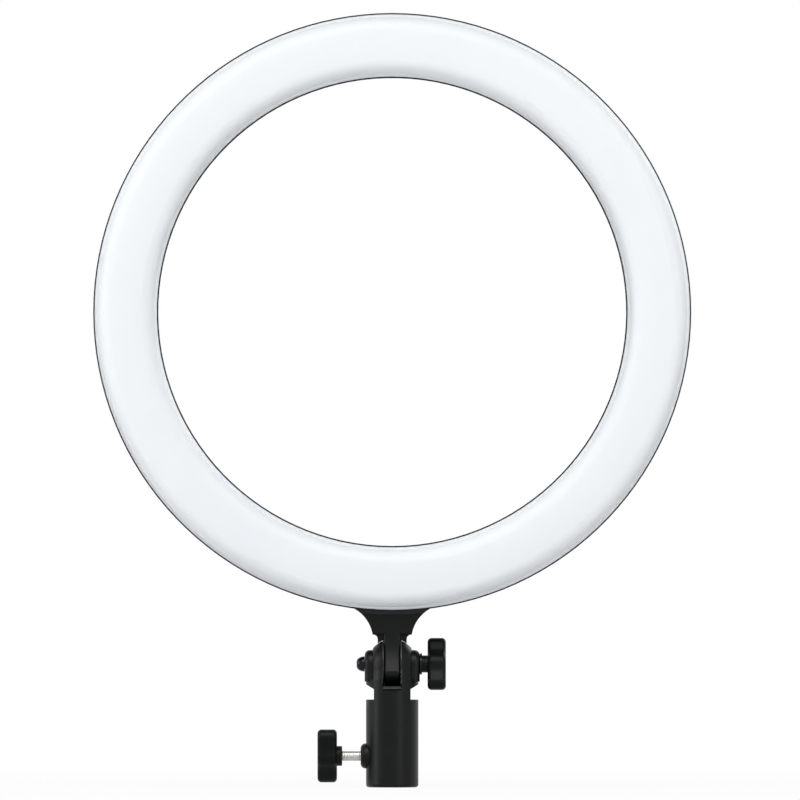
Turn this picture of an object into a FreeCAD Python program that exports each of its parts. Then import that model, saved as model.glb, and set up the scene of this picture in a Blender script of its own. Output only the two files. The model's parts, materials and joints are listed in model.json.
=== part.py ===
import FreeCAD, Part

import math
import os

# LED ring light with a tilting neck and a stand socket, in millimetres.
# +Z is up, the lit face looks along -Y, and the origin is the centre of the socket's mouth.

V = FreeCAD.Vector
X_AXIS = V(1, 0, 0)
Y_AXIS = V(0, 1, 0)
Z_AXIS = V(0, 0, 1)

# Stand socket and its clevis ears
socket_radius = 13.15
socket_bore_radius = 8.1
socket_bore_depth = 38.0
socket_edge_round = 1.5
bore_roof = 6.0
notch_height = 5.3
notch_bevel_rise = 2.4
notch_depth = 3.95
collar_height = 4.8
ear_thickness = 5.0
ear_edge_round = 1.6
slot_floor_gap = 1.3
slot_wall_gap = 0.6
slot_floor_chamfer = 1.0
slot_floor_chamfer_length = 1.6
ear_radius = 12.5
ear_taper_end = 3.5
boss_radius = 7.0
boss_rise = 0.8
boss_height = 4.07
boss_round = 2.6

# Pivot bolt, bush and washers
bolt_radius = 2.5
bolt_head_radius = 3.85
bolt_head_height = 4.0
bolt_head_round = 1.7
bolt_end_gap = 0.5
running_gap = 0.05
seat_gap = 0.05
face_gap = 0.02
tongue_side_gap = 0.04
friction_washer_thickness = 0.5
friction_washer_radius = 11.45
bush_wall = 1.0
thrust_washer_thickness = 1.05
thrust_washer_radius = 5.4

# Tilting bracket
tongue_width = 8.4
tongue_radius = 11.2
tongue_edge_round = 1.1
tongue_nose_angle = 21.0
tongue_nose_round = 2.5
bracket_front_y = -5.0
bracket_rear_y = 9.5
web_half_width = 7.3
web_half_depth = 2.4
web_gap = 0.35
web_slot_gap = 0.1
web_washer_gap = 0.15
shoulder_gap = 1.85
shoulder_root_round = 2.2
shoulder_edge_round = 1.0
flare_waist_half_width = 9.6
flare_radius = 18.4
flare_rise = 14.9
flare_end_margin = 0.4
neck_length = 26.6
bracket_screw_radius = 2.0
bracket_screw_head_radius = 3.5
bracket_screw_head_height = 2.4
bracket_screw_lift = 0.6
bracket_screw_spacing = 13.0
bracket_screw_depth = 9.0

# Ring head
ring_outer_radius = 150.0
ring_width = 32.6
rim_front_y = -6.0
rim_edge_round = 0.2
housing_back_y = 10.0
housing_wall = 2.0
housing_back_wall = 2.5
housing_back_round = 4.0
housing_inner_round = 3.0
rebate_width = 0.6
rebate_depth = 1.2
pad_height = 1.7
pad_front_y = -5.4

# Diffuser
diffuser_wall = 2.0
diffuser_proud = 11.0
diffuser_crown = 1.3
diffuser_shoulder_round = 7.0
diffuser_crown_round = 80.0
diffuser_gap = 0.1
skirt_length = 2.2
post_radius = 3.2
post_inset = 5.0
post_top_y = -9.0
post_count = 8
post_first_angle = 22.5
post_seat_thickness = 1.5
post_seat_radius = 4.0

# Light board
board_inner_margin = 5.1
board_post_gap = 0.7
board_thickness = 1.6
board_back_y = 5.4
board_boss_radius = 2.5
board_screw_count = 6
board_screw_first_angle = 30.0
led_count = 60
led_row_offset = 4.15
led_length = 3.5
led_width = 2.8
led_height = 0.8

# Small thread-forming screws
screw_radius = 1.45
screw_head_radius = 2.7
screw_head_height = 1.2
screw_hole_gap = 0.05
screw_loose_gap = 0.15
screw_length = 8.0
board_screw_head_radius = 2.0
board_screw_end_margin = 1.2
board_hole_end_margin = 0.8
counterbore_gap = 0.3
counterbore_depth = 1.4
cover_counterbore_depth = 1.7
cover_screw_end_gap = 0.8

# Control box on the back of the ring
cover_margin = 5.2
cover_depth = 11.0
cover_wall = 2.0
cover_edge_round = 2.5
cover_inner_round = 1.0
cover_hole_gap = 0.1
column_radius = 3.2
column_gap = 0.3
column_end_margin = 6.0
column_inset = 4.0
control_board_end_gap = 2.9
control_board_margin = 1.0
control_board_depth = 4.8
column_boss_gap = 0.2
wire_hole_radius = 3.5
wire_radius = 0.7
wire_spacing = 1.8
wire_angle = 12.0
wire_count = 3

# Dials, button and inlet on the control box
dial_angles = {"brightness": -10.0, "colour": -1.5}
dial_radius = 7.5
dial_height = 8.6
dial_lift = 0.4
dial_edge_round = 0.9
dial_recess_radius = 5.9
dial_recess_depth = 2.8
dial_cap_thickness = 1.6
dial_flutes = 20
dial_flute_radius = 0.8
dial_flute_shift = 0.36
dial_mark_width = 0.9
dial_mark_depth = 0.4
dial_mark_start = 1.5
pot_body_width = 9.6
pot_bushing_radius = 3.5
pot_nut_radius = 5.4
pot_nut_height = 2.0
pot_nut_gap = 0.03
pot_bore_floor = 1.2
shaft_radius = 2.5
button_angle = 6.5
button_radius = 4.0
button_proud = 1.6
button_travel = 1.0
button_flange = 1.0
button_flange_thickness = 1.0
button_gap = 0.2
button_edge_round = 0.6
button_stem_gap = 0.1
button_stem_radius = 1.4
switch_width = 6.0
switch_height = 2.2
inlet_angle = 12.0
inlet_width = 9.0
inlet_bore_radius = 3.0
inlet_bore_depth = 6.5
inlet_pin_radius = 1.0
inlet_pin_drop = 1.0
inlet_collar_radius = 4.2
inlet_collar_proud = 0.8

# Wing knobs
wing_length = 28.4
wing_thickness = 8.0
wing_hub_radius = 6.0
wing_blend = 9.0
wing_edge_round = 2.0
tilt_knob_turn = -28.0
clamp_knob_turn = 24.0
tilt_knob_collar_radius = 4.3
tilt_knob_collar_length = 2.75
tilt_knob_depth = 9.2
knob_nut_flats = 8.0
knob_nut_length = 4.0
knob_nut_seat_gap = 0.5
knob_end_wall = 2.0
knob_collar_overlap = 2.0
clamp_z = 15.75
clamp_boss_radius = 6.3
clamp_boss_face_x = 15.85
clamp_boss_round = 2.4
clamp_screw_radius = 2.5
clamp_exposed = 9.25
clamp_collar_radius = 5.0
clamp_collar_length = 2.6
clamp_collar_round = 0.5
clamp_knob_depth = 9.8
clamp_insert_radius = 3.5
clamp_insert_length = 5.6
clamp_insert_drop = 0.2
clamp_tip_clear = 0.3
clamp_pad_radius = 1.95
clamp_pad_thickness = 0.8
clamp_pad_stem_radius = 1.0
clamp_pad_stem_length = 2.4
clamp_pad_stem_gap = 0.1

# Worked-out places
tongue_half = tongue_width / 2
slot_half = tongue_half + tongue_side_gap + friction_washer_thickness + face_gap
slot_width = 2 * slot_half
ear_half_width = slot_half + ear_thickness
neck_half_width = socket_radius - notch_depth
boss_face_x = ear_half_width + boss_height
notch_low_z = socket_bore_depth + bore_roof
notch_high_z = notch_low_z + notch_height
collar_top_z = notch_high_z + collar_height
pivot_z = collar_top_z + boss_radius + boss_rise
slot_floor_z = pivot_z - tongue_radius - slot_floor_gap
slot_wall_z = pivot_z - bracket_rear_y - slot_wall_gap
ear_taper_z = pivot_z - ear_taper_end
web_clearance_radius = ear_radius + web_gap
shoulder_z = pivot_z + web_clearance_radius + shoulder_gap
ring_z = pivot_z + neck_length + ring_outer_radius
ring_inner_radius = ring_outer_radius - ring_width
flare_centre_z = ring_z - ring_outer_radius - flare_rise
ring_mid_radius = (ring_outer_radius + ring_inner_radius) / 2
housing_floor_y = housing_back_y - housing_back_wall
rebate_y = rim_front_y + rebate_depth
diffuser_front_y = rim_front_y - diffuser_proud
skirt_end_y = rebate_y + skirt_length
diffuser_outer = ring_outer_radius - housing_wall - diffuser_gap
diffuser_inner = ring_inner_radius + housing_wall + diffuser_gap
post_ring_radius = diffuser_outer - post_inset
post_end_y = housing_floor_y - post_seat_thickness
board_front_y = board_back_y - board_thickness
board_inner_radius = ring_inner_radius + board_inner_margin
board_outer_radius = post_ring_radius - post_radius - board_post_gap
board_mid_radius = (board_inner_radius + board_outer_radius) / 2
board_hole_end_y = housing_back_y - board_hole_end_margin
column_boss_y = board_back_y + column_boss_gap
loose_hole_radius = screw_radius + screw_loose_gap
counterbore_floor_y = housing_back_y - counterbore_depth
pad_radius = ring_outer_radius + pad_height
cover_inner_radius = ring_inner_radius + cover_margin
cover_outer_radius = ring_outer_radius - cover_margin
cover_back_y = housing_back_y + cover_depth
cover_inside_y = cover_back_y - cover_wall
cover_mid_radius = (cover_inner_radius + cover_outer_radius) / 2
column_angle = inlet_angle + math.degrees((inlet_width / 2 + column_radius + column_gap) / cover_mid_radius)
cover_half_angle = column_angle + math.degrees(column_end_margin / cover_mid_radius)
control_board_end = column_radius + control_board_end_gap
control_board_half_angle = column_angle - math.degrees(control_board_end / cover_mid_radius)
control_board_back_y = cover_inside_y - control_board_depth
control_board_front_y = control_board_back_y - board_thickness
thrust_washer_x = boss_face_x + seat_gap
tilt_knob_x = thrust_washer_x + thrust_washer_thickness + seat_gap
tilt_wing_x = tilt_knob_x + tilt_knob_collar_length
tilt_end_x = tilt_wing_x + tilt_knob_depth
tilt_nut_seat_x = tilt_end_x - knob_end_wall - knob_nut_seat_gap - knob_nut_length
clamp_insert_inner_x = clamp_insert_drop + clamp_insert_length - clamp_boss_face_x
clamp_collar_x = -(clamp_boss_face_x + clamp_exposed)
clamp_wing_x = clamp_collar_x - clamp_collar_length
clamp_end_x = clamp_wing_x - clamp_knob_depth
clamp_pad_x = -(socket_bore_radius + clamp_tip_clear)
clamp_screw_tip_x = clamp_pad_x - clamp_pad_thickness - seat_gap
across = (-2 * socket_radius, 2 * socket_radius)


def rod(radius, start, end):
    """Solid cylinder from one point to another."""
    run = end - start
    return Part.makeCylinder(radius, run.Length, start, run)


def tube(outer, inner, start, end):
    """Solid cylinder with a hole along it."""
    return rod(outer, start, end).cut(rod(inner, start, end))


def block(x, y, z):
    """Box between the two values given for each axis."""
    return Part.makeBox(x[1] - x[0], y[1] - y[0], z[1] - z[0], V(x[0], y[0], z[0]))


def rounded_wire(corners):
    """Closed wire through (point, radius) corners, with a tangent arc at each corner that has a radius."""
    points = [point for point, radius in corners]
    edges = []
    joints = []
    for i, (point, radius) in enumerate(corners):
        back = (points[i - 1] - point).normalize()
        ahead = (points[(i + 1) % len(points)] - point).normalize()
        if radius <= 0:
            joints.append((point, None, point))
            continue
        half = back.getAngle(ahead) / 2
        reach = radius / math.tan(half)
        middle = (back + ahead).normalize() * (radius / math.sin(half) - radius)
        joints.append((point + back * reach, point + middle, point + ahead * reach))
    for i, (start, middle, end) in enumerate(joints):
        if middle is not None:
            edges.append(Part.Arc(start, middle, end).toShape())
        following = joints[(i + 1) % len(joints)][0]
        if (following - end).Length > 1e-6:
            edges.append(Part.makeLine(end, following))
    return Part.Wire(edges)


def extruded(wire, direction):
    """Solid made by moving a flat closed wire along a direction."""
    return Part.Face(wire).extrude(direction)


def ring_solid(corners, start=0.0, sweep=360.0):
    """Solid of a (radius, y, rounding) outline turned about the ring's axis, from the bottom towards +X."""
    wire = rounded_wire([(V(0, y, -radius), rounding) for radius, y, rounding in corners])
    solid = Part.Face(wire).revolve(V(0, 0, 0), Y_AXIS, -sweep)
    solid.rotate(V(0, 0, 0), Y_AXIS, -start)
    solid.translate(V(0, 0, ring_z))
    return solid


def ring_point(radius, angle, y):
    """Point of the ring at a radius and an angle, counted from the bottom towards +X."""
    turn = math.radians(angle)
    return V(radius * math.sin(turn), y, ring_z - radius * math.cos(turn))


def pivot_at(x):
    """Point on the tilting joint's axis."""
    return V(x, 0, pivot_z)


def clamp_at(x):
    """Point on the clamp screw's axis."""
    return V(x, 0, clamp_z)


def ring_rod(body_radius, radius, angle, y0, y1):
    """Cylinder along Y at a place on the ring."""
    return rod(body_radius, ring_point(radius, angle, y0), ring_point(radius, angle, y1))


def box_rod(body_radius, angle, y0, y1):
    """Cylinder along Y on the middle arc of the control box."""
    return ring_rod(body_radius, cover_mid_radius, angle, y0, y1)


def on_ring(solid, angle):
    """Copy of a solid made at the ring's bottom, turned about the ring's axis."""
    turned = solid.copy()
    turned.rotate(V(0, 0, ring_z), Y_AXIS, -angle)
    return turned


def spread(count, first):
    """Angles of evenly spaced copies round the ring."""
    return [first + i * 360.0 / count for i in range(count)]


def hexagon(flats, start, length, along):
    """Hexagonal prism about the X or Y axis, starting at a point."""
    side = Y_AXIS if along.x else X_AXIS
    corner = flats / math.sqrt(3)
    points = []
    for i in range(6):
        turn = math.radians(60 * i)
        points.append(start + side * (corner * math.cos(turn)) + Z_AXIS * (corner * math.sin(turn)))
    return extruded(Part.makePolygon(points + [points[0]]), along * length)


def edges_near(solid, wanted):
    """Edges of a solid that a test accepts."""
    return [edge for edge in solid.Edges if wanted(edge)]


def save(name, shape):
    """Writes one piece, or a group of separate pieces, as a STEP file."""
    shape.exportStep(f"parts/{name}.step")
    solids = len(shape.Solids)
    print(f"{name:22s} solids {solids:3d} volume {shape.Volume:10.1f} valid {shape.isValid()}")


def group(solids):
    """Separate solids kept together in one piece."""
    return Part.makeCompound(solids)


# Stand socket


def ear_blank():
    """Rounded block of both ears: a slightly tapered column under a half ball, cut flat at the sides."""
    taper_length = ear_taper_z - collar_top_z
    taper = Part.makeCone(socket_radius, ear_radius, taper_length, V(0, 0, collar_top_z), Z_AXIS)
    column = rod(ear_radius, V(0, 0, ear_taper_z), V(0, 0, pivot_z))
    ball = Part.makeSphere(ear_radius, V(0, 0, pivot_z))
    ball = ball.common(block(across, across, (pivot_z, pivot_z + ear_radius + 1)))
    ears = ball.fuse([column, taper]).removeSplitter()
    sides = (-ear_half_width, ear_half_width)
    ears = ears.common(block(sides, across, (collar_top_z - 1, pivot_z + ear_radius + 1)))

    def on_rim(edge):
        box = edge.BoundBox
        return box.XLength < 1e-3 and abs(box.XMin) > ear_half_width - 1e-3 and box.ZMax > collar_top_z + 1

    return ears.makeFillet(ear_edge_round, edges_near(ears, on_rim))


def side_boss(side):
    """Boss on an ear's outer side, round at the top and straight down to the collar."""
    inner = side * (slot_half + 1)
    outer = side * boss_face_x
    disc = rod(boss_radius, pivot_at(inner), pivot_at(outer))
    foot = block(sorted((inner, outer)), (-boss_radius, boss_radius), (collar_top_z - 1, pivot_z))
    boss = disc.fuse(foot).removeSplitter()

    def on_round_rim(edge):
        middle = edge.CenterOfMass
        return abs(middle.x - outer) < 1e-3 and middle.z > pivot_z

    return boss.makeFillet(boss_round, edges_near(boss, on_round_rim))


def side_notch(side):
    """Notch below an ear, with a sloping roof."""
    near = side * neck_half_width
    far = side * (socket_radius + 1)
    rise = notch_bevel_rise * (abs(far) - abs(near)) / notch_depth
    front = across[0]
    points = [
        V(near, front, notch_low_z),
        V(far, front, notch_low_z),
        V(far, front, notch_high_z + rise),
        V(near, front, notch_high_z),
    ]
    return extruded(Part.makePolygon(points + [points[0]]), V(0, across[1] - across[0], 0))


def stand_socket():
    """Moulded socket that drops over a stand's spigot, with the two ears of the tilting joint."""
    body = rod(socket_radius, V(0, 0, 0), V(0, 0, collar_top_z))
    body = body.makeFillet(socket_edge_round, edges_near(body, lambda e: e.BoundBox.ZMax < 1e-3))
    for side in (-1, 1):
        body = body.cut(side_notch(side))
    clamp_boss = rod(clamp_boss_radius, clamp_at(-socket_bore_radius - 2), clamp_at(-clamp_boss_face_x))
    boss_rim = edges_near(clamp_boss, lambda e: abs(e.CenterOfMass.x + clamp_boss_face_x) < 1e-3)
    clamp_boss = clamp_boss.makeFillet(clamp_boss_round, boss_rim)
    body = body.fuse([ear_blank(), side_boss(-1), side_boss(1), clamp_boss]).removeSplitter()
    body = body.cut([tongue_slot(), slot_chamfer()])
    bore = rod(socket_bore_radius, V(0, 0, -1), V(0, 0, socket_bore_depth))
    pivot = rod(bolt_radius + running_gap, pivot_at(across[0]), pivot_at(across[1]))
    insert = rod(clamp_insert_radius + seat_gap, clamp_at(across[0]), clamp_at(clamp_insert_inner_x))
    screw = rod(clamp_screw_radius + 2 * running_gap, clamp_at(across[0]), clamp_at(0))
    return body.cut([bore, pivot, insert, screw])


def tongue_slot():
    """Slot between the ears: its floor is flat at the front and rises round the tongue at the back."""
    sides = (-slot_half, slot_half)
    upper = block(sides, across, (slot_wall_z, pivot_z + ear_radius + 1))
    front = block(sides, (across[0], 0), (slot_floor_z, pivot_z))
    sweep = rod(tongue_radius + slot_floor_gap, pivot_at(-slot_half), pivot_at(slot_half))
    return sweep.fuse([upper, front]).removeSplitter()


def slot_chamfer():
    """Wedge that breaks the front edge of the slot's floor."""
    inner = slot_floor_chamfer_length - socket_radius
    outer = -(socket_radius + 1)
    fall = slot_floor_chamfer * (slot_floor_chamfer_length + 1) / slot_floor_chamfer_length
    points = [
        V(-slot_half, outer, slot_floor_z),
        V(-slot_half, inner, slot_floor_z),
        V(-slot_half, outer, slot_floor_z - fall),
    ]
    return extruded(Part.makePolygon(points + [points[0]]), V(slot_width, 0, 0))


def clamp_insert():
    """Brass threaded insert in the socket's wall."""
    inner = clamp_at(clamp_insert_inner_x - seat_gap)
    outer = clamp_at(clamp_insert_inner_x - clamp_insert_length)
    return tube(clamp_insert_radius, clamp_screw_radius + running_gap, inner, outer)


# Pivot


def pivot_bolt():
    """Dome-headed bolt through both ears, with its threaded end in the knob's nut."""
    head_x = -boss_face_x - seat_gap
    head = rod(bolt_head_radius, pivot_at(head_x), pivot_at(head_x - bolt_head_height))
    rim = edges_near(head, lambda e: abs(e.CenterOfMass.x - head_x + bolt_head_height) < 1e-3)
    head = head.makeFillet(bolt_head_round, rim)
    end_x = tilt_end_x - knob_end_wall - bolt_end_gap
    shank = rod(bolt_radius, pivot_at(head_x), pivot_at(end_x))
    return head.fuse(shank).removeSplitter()


def friction_washers():
    """Two thin washers between the tongue and the ears."""
    solids = []
    for side in (-1, 1):
        outer = side * (slot_half - face_gap)
        inner = side * (slot_half - face_gap - friction_washer_thickness)
        solids.append(
            tube(friction_washer_radius, bolt_radius + running_gap, pivot_at(outer), pivot_at(inner))
        )
    return group(solids)


def thrust_washer():
    """Washer between the right ear's boss and the tilt knob."""
    start = pivot_at(thrust_washer_x)
    end = pivot_at(thrust_washer_x + thrust_washer_thickness)
    return tube(thrust_washer_radius, bolt_radius + running_gap, start, end)


def tongue_bush():
    """Bush pressed into the tongue, running on the bolt."""
    bore = bolt_radius + running_gap
    return tube(bore + bush_wall, bore, pivot_at(-tongue_half), pivot_at(tongue_half))


# Tilting bracket


def flare_blank(low_z, front_y, rear_y):
    """Neck that widens upwards to the ring along two arcs, between two planes across Y."""
    top_z = flare_centre_z + flare_radius - flare_end_margin

    def on_side(sign, z):
        reach = math.sqrt(flare_radius**2 - (z - flare_centre_z) ** 2)
        return V(sign * (flare_waist_half_width + flare_radius - reach), front_y, z)

    middle_z = (low_z + top_z) / 2
    right = Part.Arc(on_side(1, low_z), on_side(1, middle_z), on_side(1, top_z)).toShape()
    left = Part.Arc(on_side(-1, top_z), on_side(-1, middle_z), on_side(-1, low_z)).toShape()
    top = Part.makeLine(on_side(1, top_z), on_side(-1, top_z))
    low = Part.makeLine(on_side(-1, low_z), on_side(1, low_z))
    return extruded(Part.Wire([right, top, left, low]), V(0, rear_y - front_y, 0))


def ring_cylinder(radius):
    """Cylinder about the ring's axis, long enough to cut the neck."""
    return rod(radius, V(0, across[0], ring_z), V(0, across[1], ring_z))


def tongue_blank():
    """Tongue whose front leans out from the neck along an arc, down to a rounded nose on the knuckle."""
    nose_y = -tongue_radius * math.cos(math.radians(tongue_nose_angle))
    nose_z = pivot_z - tongue_radius * math.sin(math.radians(tongue_nose_angle))
    drop = shoulder_z - nose_z
    lean = bracket_front_y - nose_y
    lean_radius = (drop**2 + lean**2) / (2 * lean)
    half_turn = math.asin(drop / lean_radius) / 2
    top_z = shoulder_z + 2

    def at(y, z):
        return V(-tongue_half, y, z)

    middle_y = bracket_front_y - lean_radius * (1 - math.cos(half_turn))
    middle_z = shoulder_z - lean_radius * math.sin(half_turn)
    front = Part.Arc(at(bracket_front_y, shoulder_z), at(middle_y, middle_z), at(nose_y, nose_z)).toShape()
    corners = [
        at(nose_y, nose_z),
        at(0, nose_z),
        at(0, pivot_z),
        at(bracket_rear_y, pivot_z),
        at(bracket_rear_y, top_z),
        at(bracket_front_y, top_z),
        at(bracket_front_y, shoulder_z),
    ]
    stem = extruded(Part.Wire([front] + Part.makePolygon(corners).Edges), V(tongue_width, 0, 0))
    knuckle = rod(tongue_radius, pivot_at(-tongue_half), pivot_at(tongue_half))
    knuckle = knuckle.cut(block(across, (across[0], 0), (nose_z, top_z)))
    tongue = knuckle.fuse(stem).removeSplitter()

    def on_nose(edge):
        middle = edge.CenterOfMass
        return abs(middle.y - nose_y) < 1e-3 and abs(middle.z - nose_z) < 1e-3

    return tongue.makeFillet(tongue_nose_round, edges_near(tongue, on_nose))


def tilt_bracket():
    """Neck under the ring, with the tongue that turns between the ears."""
    flare = flare_blank(shoulder_z, bracket_front_y, bracket_rear_y)
    flare = flare.cut(ring_cylinder(pad_radius + seat_gap))

    def on_low_front(edge):
        box = edge.BoundBox
        return box.ZMax < shoulder_z + 1e-3 and box.XLength > 1 and box.YMax < 0

    flare = flare.makeFillet(shoulder_edge_round, edges_near(flare, on_low_front))
    low_z = pivot_z + tongue_half
    high_z = shoulder_z + 2
    web_corners = [
        (V(web_half_width, -web_half_depth, low_z), 0),
        (V(web_half_width, -web_half_depth, shoulder_z), shoulder_root_round),
        (V(web_half_width + shoulder_root_round, -web_half_depth, shoulder_z), 0),
        (V(web_half_width, -web_half_depth, high_z), 0),
        (V(-web_half_width, -web_half_depth, high_z), 0),
        (V(-web_half_width - shoulder_root_round, -web_half_depth, shoulder_z), 0),
        (V(-web_half_width, -web_half_depth, shoulder_z), shoulder_root_round),
        (V(-web_half_width, -web_half_depth, low_z), 0),
    ]
    web = extruded(rounded_wire(web_corners), V(0, 2 * web_half_depth, 0))
    web = web.cut(Part.makeSphere(web_clearance_radius, pivot_at(0)))
    cheek = slot_half - web_slot_gap
    cheeks = block((-cheek, cheek), (-web_half_depth, web_half_depth), (low_z, high_z))
    cheek_sweep = friction_washer_radius + web_washer_gap
    web = web.fuse(cheeks.cut(rod(cheek_sweep, pivot_at(across[0]), pivot_at(across[1]))))
    tongue = tongue_blank()

    def on_side(edge):
        box = edge.BoundBox
        return box.XLength < 1e-3 and abs(abs(box.XMin) - tongue_half) < 1e-3 and box.ZMin < shoulder_z

    tongue = tongue.makeFillet(tongue_edge_round, edges_near(tongue, on_side))
    body = flare.fuse([web, tongue]).removeSplitter()
    bush_seat = bolt_radius + running_gap + bush_wall + face_gap
    bush = rod(bush_seat, pivot_at(across[0]), pivot_at(across[1]))
    return body.cut([bush] + bracket_screw_rods(bracket_screw_radius + screw_hole_gap))


def bracket_screw_places():
    """Places of the two screws that hold the bracket, on the inside of the housing's wall."""
    middle_y = (bracket_front_y + bracket_rear_y) / 2
    half = bracket_screw_spacing / 2
    inside = ring_outer_radius - housing_wall
    drop = math.sqrt(inside**2 - half**2)
    return [V(side * half, middle_y, ring_z - drop + bracket_screw_lift) for side in (-1, 1)]


def bracket_screw_rods(radius):
    """Shanks of the bracket screws, straight down from the housing into the neck."""
    length = housing_wall + pad_height + bracket_screw_depth
    return [rod(radius, place, place - V(0, 0, length)) for place in bracket_screw_places()]


def bracket_screws():
    """Two screws from inside the housing into the neck."""
    solids = []
    for place, shank in zip(bracket_screw_places(), bracket_screw_rods(bracket_screw_radius)):
        head = rod(bracket_screw_head_radius, place, place + V(0, 0, bracket_screw_head_height))
        solids.append(head.fuse(shank).removeSplitter())
    return group(solids)


# Ring head


def housing_outline():
    """Outline of the housing's channel, as radius, y and rounding."""
    outer = ring_outer_radius
    inner = ring_inner_radius
    wall = housing_wall
    step = rebate_width
    return [
        (outer, rim_front_y, rim_edge_round),
        (outer, housing_back_y, housing_back_round),
        (inner, housing_back_y, housing_back_round),
        (inner, rim_front_y, rim_edge_round),
        (inner + step, rim_front_y, 0),
        (inner + step, rebate_y, 0),
        (inner + wall, rebate_y, 0),
        (inner + wall, housing_floor_y, housing_inner_round),
        (outer - wall, housing_floor_y, housing_inner_round),
        (outer - wall, rebate_y, 0),
        (outer - step, rebate_y, 0),
        (outer - step, rim_front_y, 0),
    ]


def column_places():
    """Radius and angle of each screw column of the control box."""
    radii = (cover_inner_radius + column_inset, cover_outer_radius - column_inset)
    return [(radius, angle) for radius in radii for angle in (-column_angle, column_angle)]


def rear_housing():
    """Rear channel of the ring, with its seats for the screws and the pad that the neck is screwed to."""
    body = ring_solid(housing_outline())
    pad = flare_blank(shoulder_z, pad_front_y, bracket_rear_y)
    pad = pad.common(ring_cylinder(pad_radius)).cut(ring_cylinder(ring_outer_radius - rebate_width / 2))
    added = [pad]
    cuts = bracket_screw_rods(bracket_screw_radius + screw_hole_gap)
    for place in bracket_screw_places():
        spot = bracket_screw_head_radius + counterbore_gap
        cuts.append(rod(spot, place, place + V(0, 0, bracket_screw_head_height + 1)))
    root_y = housing_floor_y + 1
    outside_y = housing_back_y + 1
    tight = screw_radius + screw_hole_gap
    for angle in spread(post_count, post_first_angle):
        added.append(ring_rod(post_seat_radius, post_ring_radius, angle, post_end_y, root_y))
        cuts.append(ring_rod(loose_hole_radius, post_ring_radius, angle, post_end_y - 1, outside_y))
        head = screw_head_radius + counterbore_gap
        cuts.append(ring_rod(head, post_ring_radius, angle, counterbore_floor_y, outside_y))
    for angle in spread(board_screw_count, board_screw_first_angle):
        added.append(ring_rod(board_boss_radius, board_mid_radius, angle, board_back_y, root_y))
        cuts.append(ring_rod(tight, board_mid_radius, angle, board_back_y - 1, board_hole_end_y))
    for radius, angle in column_places():
        added.append(ring_rod(board_boss_radius, radius, angle, column_boss_y, root_y))
        cuts.append(ring_rod(tight, radius, angle, board_back_y - 1, outside_y))
    cuts.append(ring_rod(wire_hole_radius, board_mid_radius, wire_angle, housing_floor_y - 2, outside_y))
    return body.fuse(added).removeSplitter().cut(cuts)


def diffuser_outline():
    """Outline of the opal cover's shell, as radius, y and rounding."""
    outer = diffuser_outer
    inner = diffuser_inner
    lip_outer = ring_outer_radius - rebate_width - diffuser_gap
    lip_inner = ring_inner_radius + rebate_width + diffuser_gap
    wall = diffuser_wall
    middle = ring_mid_radius
    inner_round = diffuser_shoulder_round - wall
    return [
        (lip_outer, rim_front_y, 0),
        (lip_outer, rebate_y, 0),
        (outer, rebate_y, 0),
        (outer, skirt_end_y, 0),
        (outer - wall, skirt_end_y, 0),
        (outer - wall, diffuser_front_y + wall, inner_round),
        (middle, diffuser_front_y - diffuser_crown + wall, diffuser_crown_round - wall),
        (inner + wall, diffuser_front_y + wall, inner_round),
        (inner + wall, skirt_end_y, 0),
        (inner, skirt_end_y, 0),
        (inner, rebate_y, 0),
        (lip_inner, rebate_y, 0),
        (lip_inner, rim_front_y, 0),
        (inner, rim_front_y, 0),
        (inner, diffuser_front_y, diffuser_shoulder_round),
        (middle, diffuser_front_y - diffuser_crown, diffuser_crown_round),
        (outer, diffuser_front_y, diffuser_shoulder_round),
        (outer, rim_front_y, 0),
    ]


def diffuser():
    """Opal cover over the whole front, with posts that take the rear screws."""
    body = ring_solid(diffuser_outline())
    posts = []
    pilots = []
    pilot_radius = screw_radius + screw_hole_gap
    pilot_y = post_end_y - screw_length
    for angle in spread(post_count, post_first_angle):
        posts.append(ring_rod(post_radius, post_ring_radius, angle, post_top_y, post_end_y))
        pilots.append(ring_rod(pilot_radius, post_ring_radius, angle, pilot_y, post_end_y + 1))
    return body.fuse(posts).removeSplitter().cut(pilots)


def ring_screw(radius, angle, head_y, length):
    """Pan-head screw along Y, its head's inner face at head_y and its shank towards the front."""
    head = ring_rod(screw_head_radius, radius, angle, head_y, head_y + screw_head_height)
    shank = ring_rod(screw_radius, radius, angle, head_y - length, head_y)
    return head.fuse(shank).removeSplitter()


def housing_screws():
    """Screws from the back of the housing into the cover's posts."""
    head_y = counterbore_floor_y + seat_gap
    length = head_y - post_end_y + screw_length - 1
    angles = spread(post_count, post_first_angle)
    return group([ring_screw(post_ring_radius, angle, head_y, length) for angle in angles])


def led_board():
    """Ring-shaped board that carries the lamps."""
    board = tube(
        board_outer_radius, board_inner_radius, V(0, board_front_y, ring_z), V(0, board_back_y, ring_z)
    )
    holes = []
    for angle in spread(board_screw_count, board_screw_first_angle):
        hole = ring_rod(loose_hole_radius, board_mid_radius, angle, board_front_y - 1, board_back_y + 1)
        holes.append(hole)
    return board.cut(holes)


def board_screws():
    """Screws that hold the light board to the housing's bosses."""
    solids = []
    head_y = board_front_y - screw_head_height
    end_y = housing_back_y - board_screw_end_margin
    for angle in spread(board_screw_count, board_screw_first_angle):
        head = ring_rod(board_screw_head_radius, board_mid_radius, angle, head_y, board_front_y)
        shank = ring_rod(screw_radius, board_mid_radius, angle, board_front_y, end_y)
        solids.append(head.fuse(shank).removeSplitter())
    return group(solids)


def led_row(radius, first_angle):
    """One circle of lamps on the board."""
    z = ring_z - radius
    lamp = block(
        (-led_length / 2, led_length / 2),
        (board_front_y - led_height, board_front_y),
        (z - led_width / 2, z + led_width / 2),
    )
    return group([on_ring(lamp, angle) for angle in spread(led_count, first_angle)])


# Control box


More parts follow.
